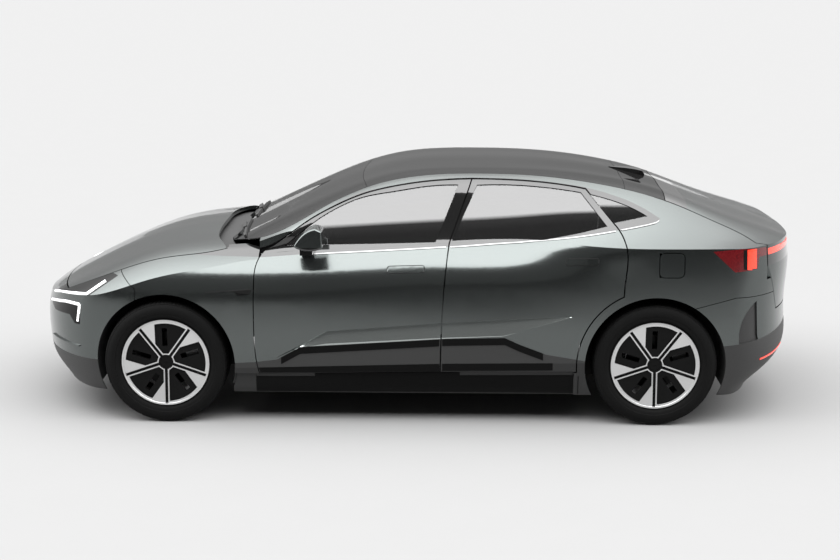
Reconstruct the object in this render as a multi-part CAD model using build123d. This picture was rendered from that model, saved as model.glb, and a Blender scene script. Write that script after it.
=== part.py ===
from build123d import *
import os
from math import cos, hypot, radians, sin, sqrt

# Driving sizes, in millimetres. The car faces -X, its left side is -Y and it stands on Z = 0.
body_width = 2008
front_axle_x = -1515
wheelbase = 3000
rear_axle_x = front_axle_x + wheelbase
tyre_radius = 381
tyre_width = 255
track = 1714
rim_seat_radius = 254
arch_radius = 430
arch_lip = 46
sill_bottom = 195
skin = 14
door_depth = 105
hinge_inset = 18
scallop_depth = 22
frame_depth = 42
glass_depth = 6
shut_gap = 8
seam_gap = 4
rest_gap = 0.3
wheel_y = track / 2
wheel_z = tyre_radius

# Nose and tail reach at each height
nose_reach = ((190, 2290), (300, 2385), (420, 2415), (560, 2420), (660, 2412), (760, 2370), (860, 2300), (1140, 2080))
tail_reach = ((190, 2150), (300, 2300), (420, 2400), (560, 2405), (660, 2395), (760, 2402), (960, 2415), (1140, 2390))
water_levels = (190, 300, 420, 560, 700, 830, 930, 1010, 1070, 1140)
# Bonnet crown on the centre line
bonnet_line = ((-2480, 640), (-2400, 692), (-2300, 757), (-2200, 812), (-2040, 893), (-1872, 968), (-1705, 1033),
               (-1540, 1077), (-1376, 1103), (-1200, 1121), (-1000, 1136), (-820, 1148))
# Cabin stations: x, roof height, roof edge half width, roof edge height, belt height
cabin_stations = (
    (-1350, 985, 862, 945, 900),
    (-1120, 1084, 856, 1043, 985),
    (-880, 1202, 830, 1139, 1050),
    (-640, 1316, 776, 1264, 1067),
    (-393, 1421, 742, 1371, 1078),
    (-160, 1493, 722, 1434, 1091),
    (120, 1529, 706, 1468, 1110),
    (380, 1534, 699, 1476, 1121),
    (680, 1529, 697, 1466, 1130),
    (980, 1508, 686, 1432, 1125),
    (1285, 1461, 665, 1376, 1112),
    (1530, 1398, 645, 1320, 1108),
    (1768, 1308, 638, 1256, 1108),
    (1980, 1228, 655, 1197, 1107),
    (2200, 1157, 695, 1130, 1095),
    (2440, 1075, 705, 1062, 1045),
)


def ease(low, high, value):
    t = min(1, max(0, (value - low) / (high - low)))
    return t * t * (3 - 2 * t)


def read(table, value):
    for (a, va), (b, vb) in zip(table, table[1:]):
        if value <= b:
            return va + (vb - va) * max(0, (value - a) / (b - a))
    return table[-1][1]


def half_width(x, z):
    plan = body_width / 2 - 42 * abs((x - 150) / 1950) ** 6
    haunch = ease(500, 1400, x)
    shoulder_start = 830 + 55 * ease(-900, 150, x) + 210 * haunch
    shoulder = 0.0021 * max(0, z - shoulder_start) ** 2
    crown = 0.00013 * (1 - 0.8 * haunch) * max(0, z - 620) ** 2
    tuck = 0.00022 * max(0, 640 - z) ** 2
    return plan - shoulder - crown - tuck


def stops(points):
    reach = [0]
    for a, b in zip(points, points[1:]):
        reach.append(reach[-1] + (b - a).length)
    return [r / reach[-1] for r in reach]


def water_points(z, inset):
    front, rear = -1920, 1900
    nose = read(nose_reach, z) - inset
    tail = read(tail_reach, z) - inset
    side = []
    for k in (0, 0.28, 0.53, 0.74, 0.9, 0.98):
        side.append((front - (nose + front) * (1 - k ** 2.2) ** (1 / 1.5), (half_width(front, z) - inset) * k))
    for x in (front, -1650, -1300, -900, -400, 150, 650, 1100, 1500, rear):
        side.append((x, half_width(x, z) - inset))
    for k in (0.98, 0.9, 0.74, 0.53, 0.28, 0):
        side.append((rear + (tail - rear) * (1 - k ** 2.2) ** 0.5, (half_width(rear, z) - inset) * k))
    return [Vector(x, -y, z) for x, y in side] + [Vector(x, y, z) for x, y in reversed(side[1:-1])]


def water_line(z, inset):
    even = water_points(560, 0)
    shared = stops(even + even[:1])
    return Wire([Edge.make_spline(water_points(z, inset), periodic=True, parameters=shared)])


def lower_body(inset):
    return Solid.make_loft([water_line(z, inset) for z in water_levels])


def cabin_points(station, inset):
    x, roof, edge_y, edge_z, belt_z = station
    belt_y = half_width(x, belt_z) - 2
    bulge = 14 - 26 * ease(800, 1500, x)
    fall = roof - edge_z
    half = [
        (0, roof),
        (0.5 * edge_y, roof - 0.13 * fall),
        (0.87 * edge_y, roof - 0.42 * fall),
        (edge_y, edge_z),
        ((edge_y + belt_y) / 2 + bulge, (edge_z + belt_z) / 2),
        (belt_y, belt_z),
    ]
    moved = []
    for i, (y, z) in enumerate(half):
        y0, z0 = half[max(0, i - 1)]
        y1, z1 = half[min(len(half) - 1, i + 1)]
        if i == 0:
            y0, z0, z1 = -y1, z1, z1
        run = hypot(y1 - y0, z1 - z0)
        moved.append((y + inset * (z1 - z0) / run, z - inset * (y1 - y0) / run))
    return [Vector(x, -y, z) for y, z in reversed(moved)] + [Vector(x, y, z) for y, z in moved[1:]]


def cabin_section(station, inset):
    top = cabin_points(station, inset)
    left_foot, right_foot = [Vector(p.X, p.Y, 700) for p in (top[0], top[-1])]
    shared = stops(cabin_points(cabin_stations[6], 0))
    return Wire([
        Edge.make_line(left_foot, top[0]),
        Edge.make_spline(top, parameters=shared),
        Edge.make_line(top[-1], right_foot),
        Edge.make_line(right_foot, left_foot),
    ])


def upper_body(inset):
    return Solid.make_loft([cabin_section(station, inset) for station in cabin_stations])


def above_bonnet(drop):
    rows = []
    for x, crown in bonnet_line:
        rows.append([
            Vector(x, y, crown - drop - 65 * (y / 800) ** 2 - 0.0022 * max(0, abs(y) - 780) ** 2)
            for y in (-1100, -930, -780, -520, -260, 0, 260, 520, 780, 930, 1100)
        ])
    lid = Face.make_surface_from_array_of_points(rows, tol=0.5, min_deg=3, max_deg=6)
    return Solid.extrude(lid, Vector(0, 0, 700))


def wire_of(place, runs):
    edges, last = [], None
    for run in runs:
        points = ([last] if last else []) + list(run)
        spots = [place(*p) for p in points]
        edges.append(Edge.make_line(*spots) if len(spots) == 2 else Edge.make_spline(spots))
        last = points[-1]
    if last != runs[0][0]:
        edges.append(Edge.make_line(place(*last), place(*runs[0][0])))
    return Wire(edges)


def redrawn(edge):
    if edge.geom_type in (GeomType.LINE, GeomType.CIRCLE):
        return edge
    return Edge.make_spline([edge.position_at(i / 16) for i in range(17)])


def prism(place, runs, way, grow):
    wire = wire_of(place, runs)
    if grow:
        wire = Wire([redrawn(edge) for edge in wire.offset_2d(grow).edges()])
    return Solid.extrude(Face(wire), way)


def side_cell(runs, low_y, high_y, grow=0):
    return prism(lambda x, z: Vector(x, low_y, z), runs, Vector(0, high_y - low_y, 0), grow)


def plan_cell(runs, low_z, high_z, grow=0):
    return prism(lambda x, y: Vector(x, y, low_z), runs, Vector(0, 0, high_z - low_z), grow)


def rear_cell(runs, low_x, high_x, grow=0):
    return prism(lambda y, z: Vector(low_x, y, z), runs, Vector(high_x - low_x, 0, 0), grow)


def block(x0, x1, y0, y1, z0, z1):
    return Solid.make_box(x1 - x0, y1 - y0, z1 - z0, Plane((x0, y0, z0)))


def across(radius, x, z, y0, y1):
    return Solid.make_cylinder(radius, y1 - y0, Plane((x, y0, z), x_dir=(1, 0, 0), z_dir=(0, 1, 0)))


def upright(radius, x, y, z0, z1):
    return Solid.make_cylinder(radius, z1 - z0, Plane((x, y, z0)))


def ring(outer, inner, x, z, y0, y1):
    return across(outer, x, z, y0, y1) - across(inner, x, z, y0 - 1, y1 + 1)


def arc_run(x, z, radius, start, stop, count=7):
    angles = [radians(start + (stop - start) * i / (count - 1)) for i in range(count)]
    return [(x + radius * cos(a), z + radius * sin(a)) for a in angles]


def plan_mirror(half):
    return [(x, -y) for x, y in reversed(half)]


def other_side(shape):
    return mirror(shape, about=Plane.XZ)


def solids_of(shape):
    return sorted(shape.solids(), key=lambda s: -s.volume)


def whole(*shapes):
    first = shapes[0]
    return first.fuse(*shapes[1:]) if len(shapes) > 1 else first


def save(name, *shapes):
    pieces = []
    for shape in shapes:
        pieces.extend(solids_of(shape))
    export_step(pieces[0] if len(pieces) == 1 else Compound(pieces), os.path.join("parts", name + ".step"), write_pcurves=False)
    print(name, len(pieces), [round(p.volume / 1000) for p in pieces[:6]])


# Shut lines and outlines, drawn in side view as x and z, in plan as x and y
front_door_lead = [(-937, 316), (-948, 367), (-963, 538), (-960, 908), (-956, 964), (-933, 1029), (-856, 1091)]
roof_side = [(-752, 1164), (-632, 1246), (-504, 1315), (-288, 1403), (-128, 1441), (80, 1471), (362, 1486)]
pillar_line = [(225, 1113), (196, 866), (179, 553), (173, 335)]
front_door_runs = [front_door_lead, roof_side, pillar_line[:1], pillar_line[1:]]
door_arc_radius = arch_radius + arch_lip + 4
rear_door_runs = [
    pillar_line[::-1],
    roof_side[-1:],
    [(534, 1483), (800, 1465), (1062, 1424)],
    [(1228, 1234)],
    [(1298, 1082), (1292, 934), (rear_axle_x - 202, wheel_z + sqrt(door_arc_radius ** 2 - 202 ** 2))],
    arc_run(rear_axle_x, wheel_z, door_arc_radius, 115.5, 185)[1:],
]
front_window_runs = [
    [(-782, 1092), (142, 1119)],
    [(279, 1455)],
    [(80, 1446), (-128, 1415), (-312, 1380), (-448, 1326), (-568, 1259), (-688, 1170), (-782, 1092)],
]
rear_window_runs = [
    [(242, 1127), (575, 1139), (790, 1140)],
    [(1184, 1222)],
    [(1030, 1408)],
    [(800, 1441), (534, 1457), (392, 1454)],
]
quarter_window_runs = [
    [(1222, 1238), (1082, 1398)],
    [(1200, 1367), (1319, 1326), (1436, 1268)],
]
bonnet_half = [(-2285, 0), (-2255, 350), (-2165, 700)]
bonnet_side = [(-1865, 800), (-1528, 818), (-1240, 815), (-1140, 790)]
bonnet_rear = [(-1165, 710), (-1205, 600), (-1235, 450), (-1240, 220), (-1236, 0)]
bonnet_runs = [
    plan_mirror(bonnet_half[1:]) + bonnet_half,
    bonnet_side,
    bonnet_rear + plan_mirror(bonnet_rear[:-1]) + [(bonnet_side[-1][0], -bonnet_side[-1][1])],
    [(x, -y) for x, y in bonnet_side[-2::-1]] + [(bonnet_half[-1][0], -bonnet_half[-1][1])],
]
screen_half = [(-1180, 0), (-1165, 330), (-1110, 600), (-1010, 740), (-900, 800)]
screen_side = [(-784, 806), (-688, 788), (-600, 762), (-512, 731), (-392, 699), (-285, 672)]
header_line = [(-340, 0), (-330, 300), (-285, 672)]
roof_edge = [(-80, 642), (110, 624), (380, 614), (700, 613), (1032, 610), (1310, 598)]


def flipped(half):
    return [(x, -y) for x, y in half]


screen_runs = [
    plan_mirror(screen_half[1:]) + screen_half,
    screen_side,
    header_line[-2::-1] + flipped(header_line[1:]),
    flipped(screen_side[-2::-1] + screen_half[-1:]),
]
roof_runs = [
    plan_mirror(header_line[1:]) + header_line,
    roof_edge,
    flipped(roof_edge[-1:]),
    flipped(roof_edge[-2::-1] + header_line[-1:]),
]
rear_panel_runs = [[(1310, -598), (1310, 598)], [(1560, 596)], [(1560, -596)]]
gate_side = [(1560, 596), (1690, 610), (1890, 680), (2000, 745), (2085, 850)]
gate_top_runs = [gate_side, [(2500, 850)], [(2500, -850)], [(2085, -850)], [(x, -y) for x, y in gate_side[-2::-1]]]
gate_rear_runs = [[(-850, 1300), (-850, 980)], [(-720, 690)], [(720, 690)], [(850, 980)], [(850, 1300)]]
lamp_runs = [[(-2290, 785), (-2203, 815)], [(-2001, 888), (-1876, 908), (-1812, 902)], [(-1980, 791)], [(-2290, 745)]]
tail_lamp_runs = [[(1809, 1094), (2078, 1116)], [(2500, 1100)], [(2500, 1050)], [(2100, 1050)], [(2090, 978)], [(1947, 965)]]
far = 1200


def belt_line(shift, first):
    return [(x, belt + shift) for x, roof, edge_y, edge_z, belt in cabin_stations if x > first]


def below_belt(low_y, high_y):
    line = belt_line(1, -900)
    end = line[-1]
    return side_cell([[(-1000, 100), (2500, 100)], [(2500, end[1] - 20)], [end], line[-2::-1], [(-1000, 1045)]], low_y, high_y)


def above_belt(low_y, high_y):
    line = belt_line(-22, -2000)
    return side_cell([[(-1350, 1700), line[0]], line[1:], [(2440, 1700)]], low_y, high_y)


def envelope(maker):
    made = {}

    def at(inset):
        if inset not in made:
            made[inset] = maker(inset)
        return made[inset]
    return at


lower = envelope(lower_body)
upper = envelope(upper_body)
bonnet_space = envelope(above_bonnet)
left_half = (-far, 0)


def arch_cut(x):
    return across(arch_radius, x, wheel_z, -far, far)


def front_panels():
    shell = (lower(0) & block(-2600, -700, -far, far, 0, 1500)) - bonnet_space(0)
    shell = shell - ((lower(skin) & block(-2590, -690, -far, far, 100, 1500)) - bonnet_space(skin))
    bonnet_hole = plan_cell(bonnet_runs, 600, 1300)
    shell = shell - bonnet_hole - arch_cut(front_axle_x)
    nose = [[(-2600, 1200), (-1800, 1200)], [(-1800, 925)], [(-1692, 844)], [(-1692, 150)], [(-2600, 150)]]
    wing = [[(-1800, 1200), (-1800, 925)], [(-1692, 844)], [(-1692, 318)], front_door_lead[:1], front_door_lead[1:], [(-760, 1200)]]
    lamp_space = side_cell(lamp_runs, -1100, -520)
    front = shell & side_cell(nose, -far, far, -seam_gap / 2)
    bumper = (front & block(-2600, -1600, -far, far, 385, 1300)).cut(lamp_space, other_side(lamp_space))
    skirt = front & block(-2600, -1600, -far, far, 0, 385 - rest_gap)
    fender = (shell & side_cell(wing, *left_half, -seam_gap / 2)).cut(block(-1300, -600, -735, 0, 0, 1500), block(-1300, -1138, -774, 0, 0, 1500), block(-938, -600, *left_half, 940, 1500), plan_cell(screen_runs, 800, 1300, 4))
    corner = block(-2600, -1700, *left_half, 600, 1000)
    lamp = ((lower(0) & corner) - bonnet_space(0)) - ((lower(40) & corner) - bonnet_space(40)) - bonnet_hole
    lamp = lamp & side_cell(lamp_runs, -1100, -520, -rest_gap)
    lid = lower(0) & block(-2600, -900, -far, far, 500, 1300) & bonnet_space(26)
    bonnet = (lid - bonnet_space(0)) & plan_cell(bonnet_runs, 600, 1300, -shut_gap)
    return bumper, skirt, fender, lamp, bonnet


def glass_layer():
    return (upper(8) & above_belt(*left_half) & block(-900, 1600, *left_half, 1000, 1600)) - upper(8 + glass_depth)


def pane(layer, runs):
    return layer & side_cell(runs, *left_half, -rest_gap)


def scallop():
    """The light-catching hollow above the door's black strip, a wedge that runs out at both ends."""
    stations = ((-836, 420, 419, 0.5), (-681, 503, 489, 0.5), (-520, 594, 502, 1), (190, 650, 550, 1), (560, 672, 568, 1), (980, 693, 692, 0.1))
    wedges = []
    for x, top, bottom, share in stations:
        side = -half_width(x, top)
        deep = side + scallop_depth * share
        wedges.append(Wire.make_polygon([Vector(x, side - 60, top), Vector(x, deep, top), Vector(x, side, bottom), Vector(x, side - 60, bottom)], close=True))
    return Solid.make_loft(wedges, ruled=True)


def side_panels():
    low = (lower(0) & block(-1000, 1420, *left_half, 0, 1300) & below_belt(*left_half)) - lower(door_depth)
    high = (upper(0) & above_belt(*left_half)) - upper(frame_depth)
    frames = high - plan_cell(top_outline(-20), 800, 1700)
    doors = []
    for runs, window, hinge_x in ((front_door_runs, front_window_runs, front_hinge_x), (rear_door_runs, rear_window_runs, rear_hinge_x)):
        cell = side_cell(runs, -far, -300, -shut_gap / 2)
        panel = whole(low & cell, frames & cell) - side_cell(window, -far, -300)
        rim = side_cell(runs, -far, -300, -1) - side_cell(runs, -far, -300, -shut_gap / 2 - 12)
        room = whole(*[block(hinge_x - 100, hinge_x + 28, -far, -300, z - 36, z + 66) for z in hinge_heights])
        panel = panel.cut(rim & lower(40), rim & upper(skin), room & lower(8), scallop())
        doors.append(panel)
    return low, high, doors


front_hinge_x = -920
rear_hinge_x = 240
hinge_heights = (690, 785)
pin_radius = 4
ledge = 30
flap_x, flap_y = 1505, -986


def rounded(x0, x1, z0, z1, radius):
    return [
        [(x0 + radius, z0), (x1 - radius, z0)],
        arc_run(x1 - radius, z0 + radius, radius, -90, 0)[1:],
        [(x1, z1 - radius)],
        arc_run(x1 - radius, z1 - radius, radius, 0, 90)[1:],
        [(x0 + radius, z1)],
        arc_run(x0 + radius, z1 - radius, radius, 90, 180)[1:],
        [(x0, z0 + radius)],
        arc_run(x0 + radius, z0 + radius, radius, 180, 270)[1:-1] + [(x0 + radius, z0)],
    ]


flap_low, flap_high = 932, 1088
flap_runs = rounded(1488, 1644, flap_low, flap_high, 34)
vent_runs = [[(2094, 778), (2030, 712), (1992, 500)], [(2125, 505)], [(2109, 562)]]
skirt_line = [(1860, 505), (2100, 530), (2480, 600)]
bumper_line = [(1690, 735), (1961, 806), (2600, 806)]
def top_outline(inset):
    half = screen_half + screen_side + roof_edge + [(1560, 596)]
    moved = []
    for i, (x, y) in enumerate(half):
        x0, y0 = half[max(0, i - 1)]
        x1, y1 = half[min(len(half) - 1, i + 1)]
        if i == 0:
            x0, y0 = x1, -y1
        run = hypot(x1 - x0, y1 - y0)
        moved.append((x + inset * (y1 - y0) / run, y - inset * (x1 - x0) / run))
    moved[-1] = (1560 - inset, moved[-1][1])
    front, side = moved[:len(screen_half)], moved[len(screen_half):]
    return [plan_mirror(front[1:]) + front, side, flipped(side[-1:]), flipped(side[-2::-1] + front[-1:])]


def hinge_side(hinge_x):
    return hinge_inset - half_width(hinge_x, 700)


def door_hinges(hinge_x):
    plates, sleeves = [], []
    hinge_y = hinge_side(hinge_x)
    for z in hinge_heights:
        plate = block(hinge_x - 4, hinge_x + 4, hinge_y, hinge_y + 135, z - 30, z + 30)
        plates.append(whole(plate, upright(pin_radius, hinge_x, hinge_y, z - 30, z + 46)))
        sleeve = whole(upright(pin_radius + 5, hinge_x, hinge_y, z + 30 + rest_gap, z + 60),
                       block(hinge_x, hinge_x + 40, hinge_y - 6, hinge_y + 6, z + 30 + rest_gap, z + 60))
        sleeves.append(sleeve - upright(pin_radius + rest_gap, hinge_x, hinge_y, z - 40, z + 80))
    return plates, sleeves


def tail_plan():
    return Solid.extrude(Face(water_line(1090, 0).moved(Location((0, 0, -190)))), Vector(0, 0, 800))


def body_side(low, high, plates):
    front_cut = side_cell(front_door_runs, -far, 0, shut_gap / 2)
    rear_cut = side_cell(rear_door_runs, -far, 0, shut_gap / 2)
    gate_cut = plan_cell(gate_top_runs, 900, 1700, shut_gap / 2)
    rear_low = lower(0) & block(1000, 2600, *left_half, 100, 1300) & below_belt(*left_half)
    rear_low = rear_low - lower(skin)
    bumper_cut = side_cell([bumper_line[:1] + bumper_line[1:2], bumper_line[2:], [(2600, 100)], [(1690, 100)]], -far, 0, seam_gap)
    rear_face = rear_cell(gate_rear_runs, 2000, 2600, shut_gap / 2)
    quarter = rear_low.cut(rear_cut, bumper_cut, rear_face, gate_cut, side_cell(tail_lamp_runs, -far, 0))
    sill = (lower(20) & block(-1100, 1040, *left_half, 190, 345)) - lower(door_depth + 70)
    sill_end = (lower(0) & block(990, 1040, *left_half, 190, 345)) - lower(door_depth + 70)
    sill = whole(sill, sill_end)
    rail = high & block(-935, 2500, *left_half, 0, 1700) & tail_plan()
    glazing = plan_cell(top_outline(-1.5), 800, 1700) - upper(glass_depth + rest_gap)
    gate_sweep = block(1490, 1680, -598, 0, 1150, 1450)
    rail = rail.cut(gate_cut, plan_cell(top_outline(ledge), 800, 1700), glazing, front_cut, rear_cut, gate_sweep)
    post = (lower(door_depth + 10) - lower(door_depth + 70)) & block(-965, -880, *left_half, 250, 1030)
    lean = [[(135, 300), (140, 553), (150, 866), (180, 1113)], [(300, 1470)], [(400, 1470)], [(290, 1113)], [(270, 866), (255, 553), (250, 300)]]
    pillar = (lower(door_depth + 20) - lower(door_depth + 70)) & side_cell(lean, *left_half) & block(0, 600, -far, 0, 250, 1118)
    pillar_top = ((upper(frame_depth + 8) & block(0, 600, -far, 0, 1040, 1600)) - upper(frame_depth + 85)) & side_cell(lean, *left_half)
    pillar_top = pillar_top - ((lower(0) & block(0, 600, *left_half, 1000, 1130)) - lower(door_depth + 20))
    tail_space = side_cell(tail_lamp_runs, *left_half) & below_belt(*left_half)
    fender_space = block(-1200, front_door_lead[0][0], *left_half, front_door_lead[0][1] - seam_gap, 400)
    sill = sill.cut(front_cut, rear_cut, fender_space)
    side = whole(rail - tail_space, quarter, sill, post, pillar, pillar_top, *plates)
    front_arch = across(arch_radius + 12 + rest_gap, front_axle_x, wheel_z, -far, far)
    return solids_of(side.cut(arch_cut(rear_axle_x), front_arch, side_cell(quarter_window_runs, -far, 0)))[0]


def rear_panels(high):
    shell = lower(0) & block(1600, 2600, -far, far, 100, 1300)
    shell = shell - lower(skin)
    bumper_cell = side_cell([bumper_line[:2], bumper_line[2:], [skirt_line[-1]], skirt_line[-2::-1]], -far, far)
    skirt_cell = side_cell([skirt_line, [(2480, 100)], [(1600, 100)], [(1600, skirt_line[0][1])]], -far, far, -rest_gap)
    gate_space = rear_cell(gate_rear_runs, 2000, 2600, shut_gap / 2)
    vent = side_cell(vent_runs, *left_half)
    grille = (lower(10) - lower(24)) & side_cell(vent_runs, *left_half, -rest_gap)
    bumper = ((shell & bumper_cell) - gate_space - arch_cut(rear_axle_x)).cut(vent, other_side(vent))
    rear_skirt = whole((shell & skirt_cell) - arch_cut(rear_axle_x), grille, other_side(grille))
    lamp = ((lower(0) & block(1700, 2600, *left_half, 900, 1300) & below_belt(*left_half)) - lower(40))
    lamp = (lamp & side_cell(tail_lamp_runs, -far, 0, -rest_gap)) - gate_space
    gate_low = (lower(0) & block(2000, 2600, -far, far, 600, 1300) & below_belt(-far, far)) - lower(45)
    gate_low = gate_low & rear_cell(gate_rear_runs, 2000, 2600, -shut_gap / 2)
    gate_top = ((upper(0) & above_belt(-far, far)) - upper(30)) & plan_cell(gate_top_runs, 900, 1700, -shut_gap / 2)
    gate = whole(gate_top & tail_plan(), gate_low)
    bar_room = rear_cell([[(-842, 1052), (842, 1052)], [(842, 1090)], [(-842, 1090)]], 2000, 2600) - lower(18)
    bar_cell = rear_cell([[(-842, 1052), (842, 1052)], [(842, 1090)], [(-842, 1090)]], 2000, 2600, -rest_gap)
    light_bar = solids_of((lower(0) - lower(18 - rest_gap)) & bar_cell & below_belt(-far, far))[0]
    return bumper, rear_skirt, lamp, gate - bar_room, light_bar


def top_layer():
    return (upper(0) & block(-1400, 1700, -far, far, 900, 1700)) - upper(glass_depth)



steer_y = 775
spindle_radius = 30
hub_gap = 0.3


def turned(points):
    face = Face(Wire.make_polygon([Vector(r, y, 0) for r, y in points], close=True))
    return Solid.revolve(face, 360, Axis((0, 0, 0), (0, 1, 0)))


def tyre_shape():
    half = tyre_width / 2
    outer = [(263, 104), (275, 111), (300, half - 3), (330, half), (352, half - 6), (370, half - 22), (378, half - 45), (tyre_radius, 60), (tyre_radius, 0)]
    inner = [(263, 94), (300, half - 17), (330, half - 15), (350, half - 24), (362, half - 48), (367, 50), (367, 0)]
    points = [(r, -w) for r, w in outer] + [(r, w) for r, w in reversed(outer[:-1])]
    points += [(r, w) for r, w in inner] + [(r, -w) for r, w in reversed(inner[:-1])]
    return turned(points)


def wheel_prism(runs):
    return Solid.extrude(Face(wire_of(lambda u, v: Vector(u, -200, v), runs)), Vector(0, 160, 0))


def rim_shape():
    bore = spindle_radius + hub_gap
    barrel = turned([(274, -118), (274, -112), (262.7, -106), (262.7, -80), (232, -50), (232, 60), (262.7, 84), (262.7, 106),
                     (274, 112), (274, 118), (260, 118), (250, 90), (222, 66), (222, -54), (250, -84), (260, -118)])
    face = turned([(259, -114), (259, -88), (120, -72), (78, -64), (bore, -64), (bore, -80), (0, -80), (0, -98), (60, -100), (150, -106)])
    hub = turned([(bore, -70), (78, -70), (78, -20), (90, -20), (90, -8), (bore, -8)])
    disc = turned([(80, -20), (172, -20), (172, 6), (80, 6)])
    sunk = turned([(0, -140), (266, -140), (266, -105), (150, -97), (60, -91), (0, -89)])
    pocket = wheel_prism([[(16.8, 52), (131, 209.4)], [(40, 243.7), (-62, 239.1)], [(-62, 114.2)], [(-16.8, 52)]])
    groove = wheel_prism([[(-9, 30), (9, 30)], [(9, 270)], [(-9, 270)]])
    slot = wheel_prism([[(-20, 98), (12, 98)], [(12, 214)], [(-20, 214)]])
    spin = Axis((0, 0, 0), (0, 1, 0))
    hollows, slots = [across(40, 0, 0, -200, -40)], []
    for i in range(5):
        hollows.append(pocket.rotate(spin, 72 * i))
        hollows.append(groove.rotate(spin, 72 * i + 36))
        slots.append(slot.rotate(spin, 72 * i))
    face = face.cut(whole(*hollows) & sunk, *slots)
    return whole(barrel, face, hub, disc)


def knuckle_shape():
    spindle = across(spindle_radius, 0, 0, -66, 40)
    post = block(-34, 34, 30, 66, -160, 170)
    foot = block(-24, 24, 30, 108, -160, -132)
    head = block(-24, 24, 30, 108, 142, 170)
    pins = whole(upright(10, 0, 82, -178, -160), upright(10, 0, 82, 170, 188))
    arm = block(34, 150, 36, 60, -40, -16)
    jaw = (ring(202, 120, 0, 0, -34, 46) & block(90, 260, -60, 60, -70, 70)) - ring(178, 60, 0, 0, -24, 10)
    bridge = block(20, 130, 30, 46, -50, 50)
    return whole(spindle, post, foot, head, pins, arm, jaw, bridge)


def place_wheel(shape, x, side):
    if side > 0:
        shape = other_side(shape)
    return shape.moved(Location((x, side * wheel_y, wheel_z)))


def steer_space(shape):
    tilt = 22
    return shape.rotate(Axis((0, 0, 0), (0, 1, 0)), -tilt).moved(Location(steering_centre))


steering_centre = (-455, -370, 925)


def steering_wheel_shape():
    rim = Solid.make_torus(176, 15, Plane((0, 0, 0), z_dir=(1, 0, 0)))
    hub = Solid.make_cylinder(58, 36, Plane((-22, 0, 0), z_dir=(1, 0, 0)))
    spokes = whole(block(-12, 2, -176, 176, -22, 16), block(-12, 2, -20, 20, -176, 0))
    shaft = Solid.make_cylinder(12, 200, Plane((-200, 0, 0), z_dir=(1, 0, 0)))
    return steer_space(whole(rim, hub, spokes, shaft))


def column_shape():
    tube = Solid.make_cylinder(34, 320, Plane((-380, 0, 0), z_dir=(1, 0, 0)))
    bore = Solid.make_cylinder(12 + rest_gap, 340, Plane((-390, 0, 0), z_dir=(1, 0, 0)))
    return steer_space(tube), steer_space(bore)


def profile_slab(runs, y0, y1):
    return side_cell(runs, y0, y1)


def interior():
    tube, bore = column_shape()
    dash = profile_slab([[(-964.7, 700), (-964.7, 1000)], [(-860, 1030), (-700, 1022), (-600, 985)], [(-560, 900)], [(-640, 800), (-780, 700)]], -690, 690)
    dash = whole(dash, tube) - bore
    console = block(-640, 240, -125, 125, 318, 600)
    seat_runs = [[(-330, 318 + 90), (-350, 470), (-330, 520), (-200, 535), (40, 500)], [(95, 620), (150, 850), (215, 1000)],
                 [(225, 1060), (245, 1170), (290, 1180), (325, 1090), (315, 1000)], [(270, 800), (210, 520), (190, 408)]]
    seat = whole(profile_slab(seat_runs, -620, -130), block(-280, 150, -560, -200, 318, 420))
    bench_runs = [[(500, 408), (490, 470), (510, 525), (640, 540), (880, 490)], [(940, 620), (1010, 850), (1080, 1010)],
                  [(1100, 1100), (1150, 1110), (1180, 1010)], [(1130, 800), (1050, 565)], [(1005, 560)], [(1005, 408)]]
    bench = whole(profile_slab(bench_runs, -640, 640), block(540, 1000, -560, 560, 318, 420))
    return dash, console, seat, bench


def structure():
    floor = block(-970, 1016, -860, 860, 300, 318) & lower(door_depth + 70 + rest_gap)
    parts = [floor, block(-985, -965, -690, 690, 300, 1000)]
    for s in (-1, 1):
        y0, y1 = sorted((s * 400, s * 470))
        parts.append(block(-2300, -980, y0, y1, 420, 520))
    parts.append((lower(skin + rest_gap) - lower(80)) & block(-2500, -2180, -600, 600, 430, 550))
    parts.append(block(1010, 1028, -690, 690, 300, 560))
    parts.append(block(1020, 2270, -600, 600, 542, 560))
    parts.append((lower(skin + rest_gap) - lower(110)) & block(2200, 2500, -560, 560, 535, 680))
    pan = whole(*parts)
    battery = block(-950, 1000, -640, 640, 185, 300)
    drive_front = block(-1640, -1385, -250, 250, 420, 620)
    drive_rear = block(1370, 1640, -250, 250, 330, 530)
    return pan, battery, drive_front, drive_rear


def suspension():
    low_z = wheel_z - 160 - rest_gap
    high_z = wheel_z + 170 + rest_gap
    front = [block(-1640, -1390, -470, 470, 392, 420)]
    rear = [block(1340, 1640, -650, 650, 290, 330)]
    for s in (-1, 1):
        for parts, x, inner in ((front, front_axle_x, 400), (rear, rear_axle_x, 610)):
            y0, y1 = sorted((s * inner, s * 806))
            parts.append(block(x - 28, x + 28, y0, y1, low_z - 24, low_z))
            parts.append(block(x - 24, x + 24, y0, y1, high_z, high_z + 24))
        y0, y1 = sorted((s * 400, s * 440))
        front.append(block(front_axle_x - 85, front_axle_x + 85, y0, y1, low_z - 24, 400))
        y0, y1 = sorted((s * 398, s * 468))
        front.append(block(front_axle_x - 40, front_axle_x + 40, y0, y1, 520, high_z + 24))
        y0, y1 = sorted((s * 610, s * 650))
        rear.append(block(rear_axle_x - 30, rear_axle_x + 30, y0, y1, low_z - 24, high_z + 24))
        y0, y1 = sorted((s * 500, s * 590))
        rear.append(block(1340, 1368, y0, y1, 320, 542))
    front_frame, rear_frame = whole(*front), whole(*rear)
    for s in (-1, 1):
        front_frame = front_frame - upright(10 + rest_gap, front_axle_x, s * steer_y, 150, 700)
        rear_frame = rear_frame - upright(10 + rest_gap, rear_axle_x, s * steer_y, 150, 700)
    return front_frame, rear_frame


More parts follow.
